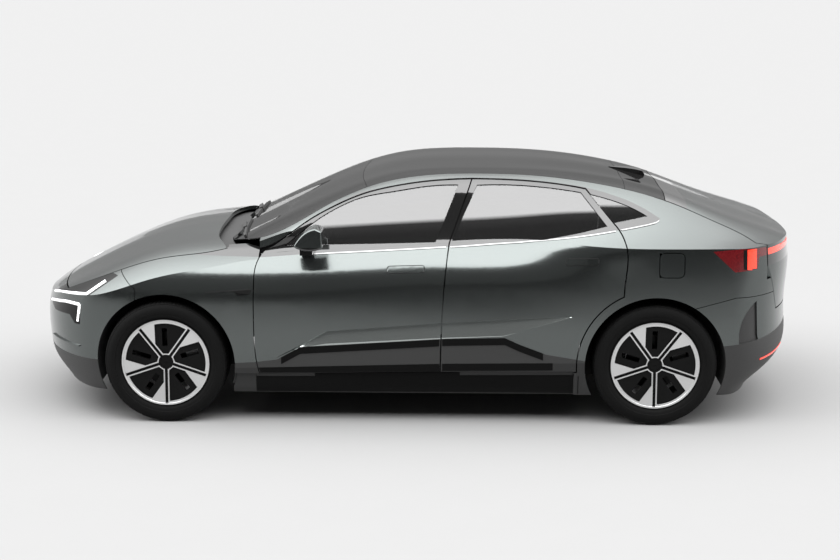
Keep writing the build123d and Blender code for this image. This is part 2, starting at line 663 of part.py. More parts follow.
def liner(x, wall_y):
    tube = ring(arch_radius + 12, arch_radius, x, wheel_z, -far, -wall_y) & block(-2600, 2600, -far, 0, 250, 1000)
    tube = tube & lower(skin + rest_gap)
    wall = (across(arch_radius + 12, x, wheel_z, -wall_y - 10, -wall_y) & block(-2600, 2600, -far, 0, 250, 1000))
    wall = wall - across(205, x, wheel_z, -far, 0)
    return whole(tube, wall)


def mirror_shape():
    shell_runs = [[(-704, 1132), (-672, 1180), (-618, 1228), (-572, 1243)], [(-534, 1226)], [(-530, 1122)], [(-640, 1108), (-704, 1132)]]
    head = side_cell(shell_runs, -1104, -936)
    head = fillet(head.edges(), 13)
    stalk = block(-676, -600, -985, -800, 1058, 1124)
    return whole(head, stalk) - lower(0) - upper(0)


def pod_shape():
    side = side_cell([[(1262, 1469), (1300, 1467), (1400, 1460), (1478, 1444)], [(1494, 1424)], [(1490, 1380)], [(1262, 1400)]], -60, 60)
    plan = plan_cell([[(1262, -5), (1350, -34), (1460, -44)], [(1496, -32)], [(1496, 32)], [(1460, 44), (1350, 34), (1262, 5)]], 1300, 1600)
    return solids_of((side & plan) - upper(0))[0]


def cowl_shape():
    tray = (bonnet_space(57) & block(-1310, -968, -880, 880, 900, 1200)) - bonnet_space(45)
    tray = tray & lower(skin + 0.8)
    tray = tray - (upper(0) & plan_cell(screen_runs, 800, 1300, 3))
    parts = [tray]
    for s in (-1, 1):
        y = s * bonnet_hinge_y
        parts.append(block(bonnet_hinge_x - 6, bonnet_hinge_x + 6, y - 4, y + 4, bonnet_hinge_z - 47, bonnet_hinge_z))
        parts.append(across(5, bonnet_hinge_x, bonnet_hinge_z, y - 22, y + 22))
    return whole(*parts)


bonnet_hinge_x, bonnet_hinge_y, bonnet_hinge_z = -1160, 765, 1054
gate_hinge_x, gate_hinge_z = 1594, 1354


def hinge_notch(shape, x, z, ys, keep):
    for y in ys:
        notch = block(x - 40, x + 30, y - 14, y + 14, z - 80, z + 60)
        shape = shape - keep(notch) - across(5 + rest_gap, x, z, y - 23, y + 23)
    return shape


def roof_frame_shape():
    layer = (upper(glass_depth + rest_gap) & block(-500, 1700, -far, far, 1200, 1700)) - upper(frame_depth)
    bars = whole(block(-400, -280, -far, far, 1200, 1700), block(1270, 1350, -far, far, 1200, 1700), block(1478, 1536, -far, far, 1200, 1700))
    frame = (layer & plan_cell(top_outline(ledge), 800, 1700)) & bars
    neck = [[(1587, 1354), (1599, 1354)], [(1599, 1290)], [(1512, 1290)], [(1512, 1375)], [(1530, 1375)], [(1530, 1306)], [(1587, 1306)]]
    parts = list(frame.solids())
    for y in (-250, 250):
        parts.append(side_cell(neck, y - 4, y + 4))
        parts.append(across(5, gate_hinge_x, gate_hinge_z, y - 22, y + 22))
    return whole(*parts)


if __name__ == "__main__":
    import time
    t = time.time()
    os.makedirs("parts", exist_ok=True)
    bumper, skirt, fender, lamp, bonnet = front_panels()
    save("front_bumper", bumper)
    save("front_skirt", skirt)
    save("headlamps", lamp, other_side(lamp))
    fender = solids_of(fender)[0]
    save("front_fenders", fender, other_side(fender))
    bonnet = hinge_notch(bonnet, bonnet_hinge_x, bonnet_hinge_z, (-bonnet_hinge_y, bonnet_hinge_y), lambda n: n - bonnet_space(5))
    save("bonnet", bonnet)
    print("front", time.time() - t)
    low, high, doors = side_panels()
    plates_f, sleeves_f = door_hinges(front_hinge_x)
    plates_r, sleeves_r = door_hinges(rear_hinge_x)
    front_door = whole(doors[0], *sleeves_f)
    rear_door = whole(doors[1], *sleeves_r)
    print("doors", time.time() - t)
    side = body_side(low, high, plates_f + plates_r)
    flap = (lower(0) & block(1400, 1700, *left_half, 900, 1100)) - lower(skin)
    flap = flap & side_cell(flap_runs, -far, 0, -5)
    pins = whole(upright(2.5, flap_x, flap_y, flap_high - 22, flap_high + 4), upright(2.5, flap_x, flap_y, flap_low - 4, flap_low + 22))
    flap = whole(flap, pins & block(1400, 1700, *left_half, 900, 1100))
    cup = (lower(skin - 4) - lower(72)) & (side_cell(flap_runs, -far, 0, 10) - (side_cell(flap_runs, -far, 0) - lower(60)))
    cup = solids_of(cup)[0]
    right_side = other_side(side)
    side = whole(side - side_cell(flap_runs, -far, 0), cup) - upright(2.8, flap_x, flap_y, flap_low - 8, flap_high + 8)
    side = side - upright(18, flap_x, flap_y, flap_low + 3, flap_high - 3)
    save("body_side_left", side)
    save("body_side_right", right_side)
    save("charge_flap", flap)
    print("side", time.time() - t)
    layer = glass_layer()
    glass_f = pane(layer, front_window_runs)
    glass_r = pane(layer, rear_window_runs)
    glass_q = pane(layer, quarter_window_runs)
    mirror_left = mirror_shape()
    for name, shape in (("door_front", front_door), ("door_rear", rear_door), ("window_front", glass_f), ("window_rear", glass_r), ("mirror", mirror_left)):
        save(name + "_left", shape)
        save(name + "_right", other_side(shape))
    save("quarter_windows", glass_q, other_side(glass_q))
    print("glass", time.time() - t)
    rear_bumper, rear_skirt, tail_lamp, gate, light_bar = rear_panels(high)
    gate = hinge_notch(gate, gate_hinge_x, gate_hinge_z, (-250, 250), lambda n: n & upper(5))
    save("rear_bumper", rear_bumper)
    save("rear_skirt", rear_skirt)
    save("tail_lamps", tail_lamp, other_side(tail_lamp))
    save("tailgate", gate)
    save("light_bar", light_bar)
    print("rear", time.time() - t)
    top = top_layer()
    for name, runs in (("windscreen", screen_runs), ("roof_glass", roof_runs), ("roof_rear_panel", rear_panel_runs)):
        save(name, top & plan_cell(runs, 800, 1700, -1.5))
    save("roof_frame", roof_frame_shape())
    save("cowl", cowl_shape())
    save("roof_pod", pod_shape())
    print("top", time.time() - t)
    pan, battery, drive_front, drive_rear = structure()
    save("floor_pan", pan)
    save("battery_pack", battery)
    save("drive_units", drive_front, drive_rear)
    liner_f, liner_r = liner(front_axle_x, 505), liner(rear_axle_x, 690)
    save("wheel_liners", liner_f, other_side(liner_f), liner_r, other_side(liner_r))
    dash, console, seat, bench = interior()
    save("dashboard", dash)
    save("centre_console", console)
    save("front_seats", seat, other_side(seat))
    save("rear_bench", bench)
    save("steering_wheel", steering_wheel_shape())
    front_frame, rear_frame = suspension()
    tyre, rim, knuckle = tyre_shape(), rim_shape(), knuckle_shape()
    save("front_suspension", front_frame)
    rear_knuckles = [place_wheel(knuckle, rear_axle_x, s) for s in (-1, 1)]
    save("rear_suspension", rear_frame)
    save("rear_knuckles", *rear_knuckles)
    for tag, s in (("left", -1), ("right", 1)):
        save("front_knuckle_" + tag, place_wheel(knuckle, front_axle_x, s))
        for end, x in (("front", front_axle_x), ("rear", rear_axle_x)):
            save("tyre_" + end + "_" + tag, place_wheel(tyre, x, s))
            save("rim_" + end + "_" + tag, place_wheel(rim, x, s))
    print("all", time.time() - t)
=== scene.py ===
import math
import bpy
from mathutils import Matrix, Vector


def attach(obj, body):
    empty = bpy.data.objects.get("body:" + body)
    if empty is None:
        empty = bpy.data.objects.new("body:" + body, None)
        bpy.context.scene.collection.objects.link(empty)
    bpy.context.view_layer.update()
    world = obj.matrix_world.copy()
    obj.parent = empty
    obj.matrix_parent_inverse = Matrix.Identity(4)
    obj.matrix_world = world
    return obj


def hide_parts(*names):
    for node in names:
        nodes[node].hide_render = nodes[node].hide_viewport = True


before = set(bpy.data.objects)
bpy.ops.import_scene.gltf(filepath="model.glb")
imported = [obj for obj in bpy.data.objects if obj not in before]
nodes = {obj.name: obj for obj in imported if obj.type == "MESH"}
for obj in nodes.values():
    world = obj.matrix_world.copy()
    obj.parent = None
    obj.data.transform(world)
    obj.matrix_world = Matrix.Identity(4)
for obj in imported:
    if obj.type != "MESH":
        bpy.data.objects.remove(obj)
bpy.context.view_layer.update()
sides = {"left": -1, "right": 1}
drawn = {"nose": -2.5, "span": 5.0, "tall": 2.0}  # the reach that the drawn lines are read over, in metres


def clearSelection():
    bpy.ops.object.select_all(action="DESELECT")


def pick(piece):
    clearSelection()
    piece.select_set(True)
    bpy.context.view_layer.objects.active = piece


def editAll(piece):
    pick(piece)
    bpy.ops.object.mode_set(mode="EDIT")
    bpy.ops.mesh.select_all(action="SELECT")


def endEdit():
    bpy.ops.object.mode_set(mode="OBJECT")


def addModifier(piece, kind, **settings):
    modifier = piece.modifiers.new(kind.lower(), kind)
    for key, value in settings.items():
        setattr(modifier, key, value)
    pick(piece)
    bpy.ops.object.modifier_apply(modifier=modifier.name)


def dress(piece, finish, body, angle=35):
    pick(piece)
    bpy.ops.object.transform_apply(location=True, rotation=True, scale=True)
    bpy.ops.object.shade_smooth_by_angle(angle=math.radians(angle))
    piece.data.materials.clear()
    piece.data.materials.append(finish.material)
    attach(piece, body)
    return piece


class Value:
    def __init__(self, tree, socket):
        self.tree, self.socket = tree, socket

    def join(self, operation, *terms):
        return self.tree.node("ShaderNodeMath", {"operation": operation}, dict(enumerate(terms)))

    def __add__(self, other):
        return self.join("ADD", self, other)

    def __radd__(self, other):
        return self.join("ADD", other, self)

    def __sub__(self, other):
        return self.join("SUBTRACT", self, other)

    def __rsub__(self, other):
        return self.join("SUBTRACT", other, self)

    def __mul__(self, other):
        return self.join("MULTIPLY", self, other)

    def __rmul__(self, other):
        return self.join("MULTIPLY", other, self)

    def __pow__(self, other):
        return self.join("POWER", self, other)

    def __abs__(self):
        return self.join("ABSOLUTE", self)

    def __gt__(self, other):
        return self.join("GREATER_THAN", self, other)

    def __lt__(self, other):
        return self.join("LESS_THAN", self, other)


class Tree:
    def __init__(self, tree):
        self.tree = tree

    def node(self, kind, settings, links, output=0):
        made = self.tree.nodes.new(kind)
        for key, value in settings.items():
            if key == "stops":
                ramp = made.color_ramp.elements
                while len(ramp) < len(value):
                    ramp.new(0.5)
                for stop, (place, colour) in zip(ramp, value):
                    stop.position, stop.color = place, colour
            else:
                setattr(made, key, value)
        for key, value in links.items():
            self.feed(made.inputs[key], value)
        return Value(self, made.outputs[output])

    def feed(self, socket, value):
        if isinstance(value, Value):
            self.tree.links.new(value.socket, socket)
        else:
            socket.default_value = value

    def axes(self, source="Object"):
        place = self.node("ShaderNodeTexCoord", {}, {}, source)
        return [self.node("ShaderNodeSeparateXYZ", {}, {0: place}, axis) for axis in "XYZ"]

    def ramp(self, value, stops):
        return self.node("ShaderNodeValToRGB", {"stops": stops}, {"Fac": value}, "Color")

    def mix(self, mask, under, over):
        return self.node("ShaderNodeMix", {"data_type": "RGBA"}, {0: mask, 6: under, 7: over}, 2)


def grey(level, tint=(1, 1, 1)):
    return tuple(level * t for t in tint) + (1,)


class Finish(Tree):
    def __init__(self, name):
        self.material = bpy.data.materials.new(name)
        self.material.use_nodes = True
        super().__init__(self.material.node_tree)
        self.shader = self.tree.nodes["Principled BSDF"]

    def set(self, **values):
        for key, value in values.items():
            self.feed(self.shader.inputs[key.replace("_", " ")], value)
        return self

    def noise(self, scale, detail=2.0, rough=0.5):
        place = self.node("ShaderNodeTexCoord", {}, {}, "Object")
        links = {"Vector": place, "Scale": scale, "Detail": detail, "Roughness": rough}
        return self.node("ShaderNodeTexNoise", {}, links, "Fac")

    def bump(self, height, strength, distance):
        links = {"Height": height, "Strength": strength, "Distance": distance}
        return self.node("ShaderNodeBump", {}, links, "Normal")

    def line(self, x, points):  # height in metres of a drawn line, read at x
        stops = [((px - drawn["nose"]) / drawn["span"], grey(pz / drawn["tall"])) for px, pz in points]
        return drawn["tall"] * self.ramp((x - drawn["nose"]) * (1 / drawn["span"]), stops)


def speckled(name, dark, light, scale, **values):
    finish = Finish(name)
    colour = finish.ramp(finish.noise(scale), [(0.3, dark), (0.7, light)])
    return finish.set(Base_Color=colour, **values)


# lines drawn along the car's side, as x and height in metres
sideLines = {
    "belt": [(-0.90, 1.030), (-0.70, 1.045), (-0.537, 1.0555), (-0.281, 1.0697), (0.17, 1.0958), (0.291, 1.1003),
             (0.655, 1.1262), (0.895, 1.1558), (1.136, 1.1873), (1.228, 1.1993), (1.434, 1.2273), (1.50, 1.244)],
    "frame": [(-0.90, 1.08), (-0.73, 1.172), (-0.568, 1.286), (-0.448, 1.352), (-0.312, 1.408), (-0.128, 1.442),
              (0.08, 1.474), (0.28, 1.487), (0.536, 1.486), (0.776, 1.472), (1.024, 1.440), (1.176, 1.403),
              (1.32, 1.355), (1.424, 1.307), (1.51, 1.256)],
    "cladding": [(-1.10, 0.384), (-0.96, 0.392), (-0.824, 0.410), (-0.681, 0.493), (0.203, 0.550), (0.567, 0.558),
                 (0.659, 0.515), (0.818, 0.453), (1.06, 0.412)],
    "sill": [(-1.08, 0.352), (0.051, 0.386), (1.15, 0.400)],
    "hollowTop": [(-0.836, 0.420), (-0.681, 0.503), (-0.52, 0.594), (0.19, 0.650), (0.56, 0.672), (0.98, 0.693)],
    "hollowFoot": [(-0.836, 0.419), (-0.681, 0.489), (-0.52, 0.502), (0.19, 0.550), (0.56, 0.568), (0.98, 0.692)],
}
# the hollow colour is a painted reflection: a lighter band laid on the doors where the sky is mirrored
coach = {"dark": (0.092, 0.102, 0.100, 1), "light": (0.122, 0.134, 0.131, 1), "flake": 900, "rough": 0.17,
         "metal": 0.92, "coat": 0.45, "hollow": (0.40, 0.43, 0.42, 1), "hollowMiddle": 0.07, "hollowReach": 0.9}
blackGlass = {"colour": grey(0.006), "metal": 0.0, "rough": 0.05, "coat": 1.0}
satinGrey = {"colour": grey(0.022, (1, 1.01, 1.0)), "metal": 0.0, "rough": 0.42, "coat": 0.0}
satinBlack = {"colour": grey(0.010), "metal": 0.0, "rough": 0.5, "coat": 0.0}


def coachFinish(name, *zones):
    finish = Finish(name)
    x, y, z = finish.axes()
    colour = finish.ramp(finish.noise(coach["flake"]), [(0.3, coach["dark"]), (0.7, coach["light"])])
    metal, rough, coat = coach["metal"], coach["rough"] + 0.04 * finish.noise(240), coach["coat"]
    for where, look in zones:
        mask = where(finish, x, y, z)
        colour = finish.mix(mask, colour, look["colour"])
        metal = metal + mask * (look["metal"] - metal)
        rough = rough + mask * (look["rough"] - rough)
        coat = coat + mask * (look["coat"] - coat)
    return finish.set(Base_Color=colour, Metallic=metal, Roughness=rough, Coat_Weight=coat, Coat_Roughness=0.02)


def underCladding(finish, x, y, z):
    return z < finish.line(x, sideLines["cladding"])


def underSill(finish, x, y, z):
    return z < finish.line(x, sideLines["sill"])


def windowFrame(finish, x, y, z):
    return (z > finish.line(x, sideLines["belt"])) * (z < finish.line(x, sideLines["frame"])) * (x < 1.51)


# painted reflection: the zone between the hollow's top and foot lines, where the doors take the lighter colour
def doorReflectionBand(finish, x, y, z):
    between = (z < finish.line(x, sideLines["hollowTop"])) * (z > finish.line(x, sideLines["hollowFoot"]))
    return between * (abs(x - coach["hollowMiddle"]) < coach["hollowReach"])


# painted reflection: the lighter colour of the door hollow
hollowPaint = {"colour": coach["hollow"], "metal": coach["metal"], "rough": 0.2, "coat": coach["coat"]}
paint = coachFinish("bodyPaint")
sidePaint = coachFinish("sidePaint", (underCladding, satinGrey), (underSill, satinBlack), (windowFrame, blackGlass))
# door paint with a painted reflection in the hollow, beside the real cladding, sill and window black
doorPaint = coachFinish("doorPaint", (doorReflectionBand, hollowPaint), (underCladding, satinGrey), (underSill, satinBlack),
                        (lambda f, x, y, z: z > f.line(x, sideLines["belt"]), blackGlass))
gatePaint = coachFinish("tailgatePaint", (lambda f, x, y, z: (x < 1.70) * (z > 1.2), blackGlass),
                        (lambda f, x, y, z: (z > 0.985) * (z < 1.056) * (x > 2.06), blackGlass))
mirrorPaint = coachFinish("mirrorPaint", (lambda f, x, y, z: z < 1.128, blackGlass))
inkBlack = speckled("inkBlack", grey(0.003), grey(0.005), 300, IOR=1.15)
inkBlack.set(Roughness=0.3 + 0.1 * inkBlack.noise(90))
blackGloss = speckled("blackGloss", grey(0.005), grey(0.008), 300, Coat_Weight=1.0, Coat_Roughness=0.02)
blackGloss.set(Roughness=0.06 + 0.04 * blackGloss.noise(60))
glass = speckled("tintedGlass", grey(0.004), grey(0.006), 40, IOR=2.1)
glass.set(Roughness=0.004 + 0.006 * glass.noise(9), Alpha=0.80 + 0.02 * glass.noise(7))
screenGlass = speckled("screenGlass", grey(0.005), grey(0.008), 40, IOR=1.45)
screenGlass.set(Roughness=0.01 + 0.01 * screenGlass.noise(9), Alpha=0.86 + 0.02 * screenGlass.noise(7))
roofGlass = speckled("roofGlass", grey(0.006), grey(0.009), 40, IOR=1.30)
roofGlass.set(Roughness=0.03 + 0.03 * roofGlass.noise(14))
trim = speckled("mouldedTrim", grey(0.018), grey(0.026), 500)
trim.set(Roughness=0.46 + 0.12 * trim.noise(120), Normal=trim.bump(trim.noise(2200), 0.25, 0.0006))
# felt black for the wheel liners, also used as painted shade in the door handle gaps
deepBlack = speckled("linerFeltAndGapShade", grey(0.004), grey(0.007), 300)
deepBlack.set(Roughness=0.85 + 0.1 * deepBlack.noise(120), Normal=deepBlack.bump(deepBlack.noise(1400), 0.5, 0.001))
rubber = speckled("tyreRubber", grey(0.003), grey(0.005), 160, IOR=1.2)
rubber.set(Roughness=0.6 + 0.14 * rubber.noise(90), Normal=rubber.bump(rubber.noise(900), 0.3, 0.0008))
bright = speckled("brightTrim", grey(0.24), grey(0.32), 700, Metallic=1.0)
bright.set(Roughness=0.14 + 0.06 * bright.noise(220))
steel = speckled("castSteel", grey(0.16), grey(0.24), 200, Metallic=1.0)
steel.set(Roughness=0.42 + 0.15 * steel.noise(120))
underbody = speckled("underbody", grey(0.012), grey(0.02), 60)
underbody.set(Roughness=0.6 + 0.2 * underbody.noise(40))
leather = speckled("seatLeather", grey(0.030), grey(0.045), 260)
channels = leather.node("ShaderNodeTexWave", {"bands_direction": "Y"},
                        {"Vector": leather.node("ShaderNodeTexCoord", {}, {}, "Object"), "Scale": 4.2}, "Fac")
leather.set(Roughness=0.48 + 0.14 * leather.noise(70),
            Normal=leather.bump(0.12 * leather.noise(700, 4) + channels ** 0.3, 0.5, 0.004))
cabin = speckled("cabinTrim", grey(0.02), grey(0.03), 350)
cabin.set(Roughness=0.6 + 0.12 * cabin.noise(160), Normal=cabin.bump(cabin.noise(1500), 0.25, 0.0006))
lampDark = speckled("lampHousing", grey(0.006), grey(0.010), 200, IOR=1.25)
lampDark.set(Roughness=0.1 + 0.06 * lampDark.noise(80))
lampRed = speckled("tailLens", (0.075, 0.003, 0.005, 1), (0.13, 0.006, 0.008, 1), 120, Coat_Weight=1.0)
lampRed.set(Roughness=0.14 + 0.1 * lampRed.noise(60))
redGlow = speckled("redGlow", (0.75, 0.03, 0.015, 1), (0.9, 0.05, 0.02, 1), 90, Coat_Weight=1.0, Roughness=0.2,
                   Emission_Strength=0.75)
redStops = [(0.2, (0.85, 0.02, 0.008, 1)), (0.8, (1, 0.05, 0.012, 1))]
redGlow.set(Emission_Color=redGlow.ramp(redGlow.noise(30), redStops))
whiteGlow = speckled("whiteGlow", grey(0.85), grey(0.95), 90, Coat_Weight=1.0, Roughness=0.2, Emission_Strength=0.7)
whiteGlow.set(Emission_Color=whiteGlow.ramp(whiteGlow.noise(40), [(0.2, grey(0.9)), (0.8, (1, 1, 1, 1))]))

wheelSet = {"centre": -0.015, "halfBase": 1.5, "axle": 0.381, "track": 0.857, "faceDepth": 0.0022,
            "hub": 0.046, "edge": 0.270, "reach": 0.3, "deepest": 0.2,
            "face": [(0.042, 0.099), (0.060, 0.100), (0.150, 0.106), (0.259, 0.114), (0.30, 0.118)]}
wheelFinish = Finish("wheelFace")
wx, wy, wz = wheelFinish.axes()
radius = ((abs(wx - wheelSet["centre"]) - wheelSet["halfBase"]) ** 2 + (wz - wheelSet["axle"]) ** 2) ** 0.5
faceStops = [(r / wheelSet["reach"], grey(depth / wheelSet["deepest"])) for r, depth in wheelSet["face"]]
face = wheelSet["deepest"] * wheelFinish.ramp(radius * (1 / wheelSet["reach"]), faceStops)
cut = (abs(wy) - wheelSet["track"]) > face - wheelSet["faceDepth"]  # the turned fronts of the spokes
cut = cut * (radius > wheelSet["hub"]) * (radius < wheelSet["edge"])
spokeBlack = wheelFinish.ramp(wheelFinish.noise(300), [(0.3, grey(0.003)), (0.7, grey(0.005))])
spokeBright = wheelFinish.ramp(wheelFinish.noise(800), [(0.3, grey(0.66)), (0.7, grey(0.78))])
wheelFinish.set(Base_Color=wheelFinish.mix(cut, spokeBlack, spokeBright), Metallic=cut,
                Roughness=0.26 + 0.06 * wheelFinish.noise(400) + cut * 0.04, IOR=1.2)
print("finishes made")

nodeFinish = {
    paint: ["front_bumper", "rear_bumper", "bonnet", "charge_flap"],
    sidePaint: ["body_side_left", "body_side_right", "front_fenders"],
    doorPaint: ["door_front_left", "door_front_right", "door_rear_left", "door_rear_right"],
    gatePaint: ["tailgate"],
    mirrorPaint: ["mirror_left", "mirror_right"],
    trim: ["front_skirt", "rear_skirt", "cowl"],
    deepBlack: ["wheel_liners"],
    screenGlass: ["windscreen"],
    roofGlass: ["roof_glass", "roof_rear_panel"],
    blackGloss: ["roof_pod"],
    underbody: ["floor_pan", "battery_pack", "drive_units", "front_suspension", "rear_suspension", "roof_frame"],
    steel: ["rear_knuckles", "front_knuckle_left", "front_knuckle_right"],
    cabin: ["dashboard", "centre_console", "steering_wheel"],
    lampDark: ["headlamps"],
    lampRed: ["tail_lamps"],
    redGlow: ["light_bar"],
    wheelFinish: ["rim_front_left", "rim_front_right", "rim_rear_left", "rim_rear_right"],
}
for finish, names in nodeFinish.items():
    for name in names:
        nodes[name].data.materials.clear()
        nodes[name].data.materials.append(finish.material)
print("solids finished")


def along(points, share):  # a point at a share of a drawn line's length
    steps = [math.dist(a, b) for a, b in zip(points, points[1:])]
    reach = share * sum(steps)
    for (a, b), step in zip(zip(points, points[1:]), steps):
        if reach <= step or b is points[-1]:
            t = min(1, reach / step) if step else 0
            return [p + (q - p) * t for p, q in zip(a, b)]
        reach -= step


sheet = {"beside": 1.2, "above": 1.9, "missed": 1e-4}


def lay(name, target, axis, away, low, high, finish, body, slotName, thick, columns, rows, lift=0.4):
    # a sheet between two drawn lines, pressed onto a solid along an axis and given a thickness
    clearSelection()
    bpy.ops.mesh.primitive_grid_add(x_subdivisions=columns, y_subdivisions=rows, size=2)
    panel = bpy.context.object
    panel.name = name
    for vertex in panel.data.vertices:
        u, v = (vertex.co.x + 1) / 2, (vertex.co.y + 1) / 2
        a, b = along(low, u), along(high, u)
        first, second = [p + (q - p) * v for p, q in zip(a, b)]
        vertex.co = {"X": (away, first, second), "Y": (first, away, second), "Z": (first, second, away)}[axis]
    addModifier(panel, "SHRINKWRAP", target=nodes[target], wrap_method="PROJECT", use_project_x=axis == "X",
                use_project_y=axis == "Y", use_project_z=axis == "Z", use_negative_direction=True,
                use_positive_direction=True)
    pick(panel)
    missed = [abs(vertex.co["XYZ".index(axis)] - away) < sheet["missed"] for vertex in panel.data.vertices]
    bpy.ops.object.mode_set(mode="EDIT")
    bpy.ops.mesh.select_all(action="DESELECT")
    bpy.ops.object.mode_set(mode="OBJECT")
    for vertex, lost in zip(panel.data.vertices, missed):
        vertex.select = lost
    bpy.ops.object.mode_set(mode="EDIT")
    bpy.ops.mesh.delete(type="VERT")
    endEdit()
    outward = sum((polygon.normal["XYZ".index(axis)] for polygon in panel.data.polygons), 0.0) * away
    if outward < 0:
        editAll(panel)
        bpy.ops.mesh.flip_normals()
        endEdit()
    addModifier(panel, "SOLIDIFY", thickness=thick, offset=lift)
    return dress(panel, finish, body)


def layBeside(name, target, s, *rest):
    return lay(name, target, "Y", sheet["beside"] * s, *rest)


def bead(name, points, width, finish, body, order=3):
    # a round bead that follows points on the surface
    clearSelection()
    bpy.ops.curve.primitive_nurbs_path_add()
    path = bpy.context.object
    path.name = name
    path.data.splines.clear()
    spline = path.data.splines.new("NURBS")
    spline.points.add(len(points) - 1)
    for knot, place in zip(spline.points, points):
        knot.co = (*place, 1)
    spline.order_u = order
    spline.use_endpoint_u = True
    path.data.bevel_depth = width / 2
    path.data.bevel_resolution = 3
    path.data.use_fill_caps = True
    pick(path)
    bpy.ops.object.convert(target="MESH")
    return dress(bpy.context.object, finish, body, 60)


def lowered(points, drop):
    return [(x, z - drop) for x, z in points]


def rounded(x0, x1, z0, z1, corner, slant=0.0):
    # lower and upper lines of a patch with rounded ends
    middle, arc = (z0 + z1) / 2, [math.radians(a) for a in (0, 30, 60, 90)]
    upper = [(x0, middle)]
    upper += [(x0 + corner * (1 - math.sin(a)), z1 - corner * (1 - math.cos(a))) for a in reversed(arc)]
    upper += [(x1 - corner * (1 - math.sin(a)), z1 - corner * (1 - math.cos(a))) for a in arc]
    upper += [(x1, middle)]
    lower = [(x, 2 * middle - z) for x, z in upper]
    tip = lambda line: [(x, z + slant * (x - x0)) for x, z in line]
    return tip(lower), tip(upper)


doorTrim = {
    "frontStrip": [(-0.80, 0.424), (-0.681, 0.492), (0.168, 0.546)],
    "rearStrip": [(0.186, 0.548), (0.203, 0.549), (0.567, 0.557), (0.659, 0.514), (0.80, 0.460)],
    "stripTall": 0.043, "stripThick": 0.005,
    "frontHandle": (-0.148, 0.075, 0.950, 0.988, 0.012, 0.03),
    "rearHandle": (0.930, 1.125, 1.006, 1.044, 0.012, 0.03),
    "beltTall": 0.006, "handleGap": 0.004,
    "sillLow": [(-0.96, 0.196), (1.02, 0.196)], "sillHigh": [(-0.96, 0.312), (0.17, 0.330), (1.02, 0.340)],
    "frontSkirtLow": [(-0.93, 0.324), (0.168, 0.340)], "frontSkirtHigh": [(-0.94, 0.356), (0.168, 0.389)],
    "rearSkirtLow": [(0.186, 0.344), (0.86, 0.352)], "rearSkirtHigh": [(0.186, 0.390), (0.86, 0.398)],
    "frontBelt": [(-0.66, 1.046), (-0.537, 1.0555), (-0.281, 1.0697), (0.17, 1.0958), (0.205, 1.097)],
    "rearBelt": [(0.232, 1.098), (0.291, 1.1003), (0.655, 1.1262), (0.895, 1.1558), (1.136, 1.1873), (1.232, 1.1998)],
    "quarterBelt": [(1.262, 1.204), (1.434, 1.2273), (1.486, 1.236), (1.506, 1.246)],
}
for side, s in sides.items():
    for end in ("front", "rear"):
        door, body = f"door_{end}_{side}", f"{end}_door_{side}"
        strip = doorTrim[end + "Strip"]
        layBeside(f"{end}_strip_{side}", door, s, lowered(strip, doorTrim["stripTall"]), strip, inkBlack, body,
                  "dark_trim", doorTrim["stripThick"], 60, 3)
        layBeside(f"{end}_skirt_{side}", door, s, doorTrim[end + "SkirtLow"], doorTrim[end + "SkirtHigh"], inkBlack,
                  body, "dark_trim", 0.003, 50, 3)
        x0, x1, z0, z1, corner, slant = doorTrim[end + "Handle"]
        gap = doorTrim["handleGap"]
        seam = rounded(x0 - gap, x1 + gap, z0 - gap, z1 + gap, corner + gap, slant)
        # painted shade: a near-black sheet round the handle stands for the shade in its gap
        layBeside(f"{end}_handle_gap_shade_{side}", door, s, *seam, deepBlack, body, "dark_trim", 0.0016, 36, 5)
        grip = rounded(x0, x1, z0, z1, corner, slant)
        layBeside(f"{end}_handle_{side}", door, s, *grip, paint, body, "paint", 0.0034, 36, 5)
        belt = doorTrim[end + "Belt"]
        layBeside(f"{end}_belt_{side}", door, s, lowered(belt, doorTrim["beltTall"]), belt, bright, body,
                  "dark_trim", 0.005, 60, 2)
    belt = doorTrim["quarterBelt"]
    layBeside(f"quarter_belt_{side}", f"body_side_{side}", s, lowered(belt, doorTrim["beltTall"]), belt, bright,
              "car_body", "dark_trim", 0.005, 24, 2)
    # partly the dark rocker trim and partly painted shade: the near-black sheet runs down over the shadowed lower sill
    layBeside(f"sill_trim_and_shade_{side}", f"body_side_{side}", s, doorTrim["sillLow"], doorTrim["sillHigh"], inkBlack,
              "car_body", "dark_trim", 0.004, 60, 6)
print("door trim laid")

lamps = {
    "browLight": [(-2.285, 0.541, 0.733), (-2.21, 0.665, 0.757), (-2.135, 0.777, 0.7746), (-2.065, 0.853, 0.787),
                  (-1.998, 0.903, 0.7943), (-1.995, 0.903, 0.797)],
    "browRise": [(-1.998, 0.9027, 0.7943), (-1.9396, 0.8821, 0.8341), (-1.8868, 0.8627, 0.868)],
    "browWidth": 0.019, "riseWidth": 0.023,
    "lowHousing": {"low": [(-2.302, 0.654), (-2.268, 0.6325), (-2.134, 0.6443), (-2.095, 0.597), (-2.060, 0.597)],
                   "high": [(-2.310, 0.676), (-2.24, 0.700), (-2.1686, 0.7149), (-2.09, 0.7225), (-2.0511, 0.7248)]},
    "lowLight": [(-2.3128, 0.5192, 0.6725), (-2.24, 0.665, 0.698), (-2.1686, 0.7553, 0.7149), (-2.10, 0.834, 0.721),
                 (-2.0531, 0.8762, 0.7215)],
    "lowDrop": [(-2.0531, 0.8758, 0.7235), (-2.0605, 0.8736, 0.6733), (-2.0707, 0.8683, 0.6146)], "lowWidth": 0.020,
    "tailColumn": {"low": [(2.022, 0.978), (2.082, 0.972)], "high": [(2.018, 1.100), (2.078, 1.101)]},
    "tailEdges": {"low": [(2.000, 0.982), (2.022, 0.978)], "high": [(1.994, 1.099), (2.018, 1.100)]},
    # the rear reflector below is given a painted glow
    "glowingReflector": {"low": [(2.140, 0.392), (2.25, 0.399), (2.33, 0.412)],
                  "high": [(2.142, 0.402), (2.25, 0.411), (2.33, 0.424)]},
}
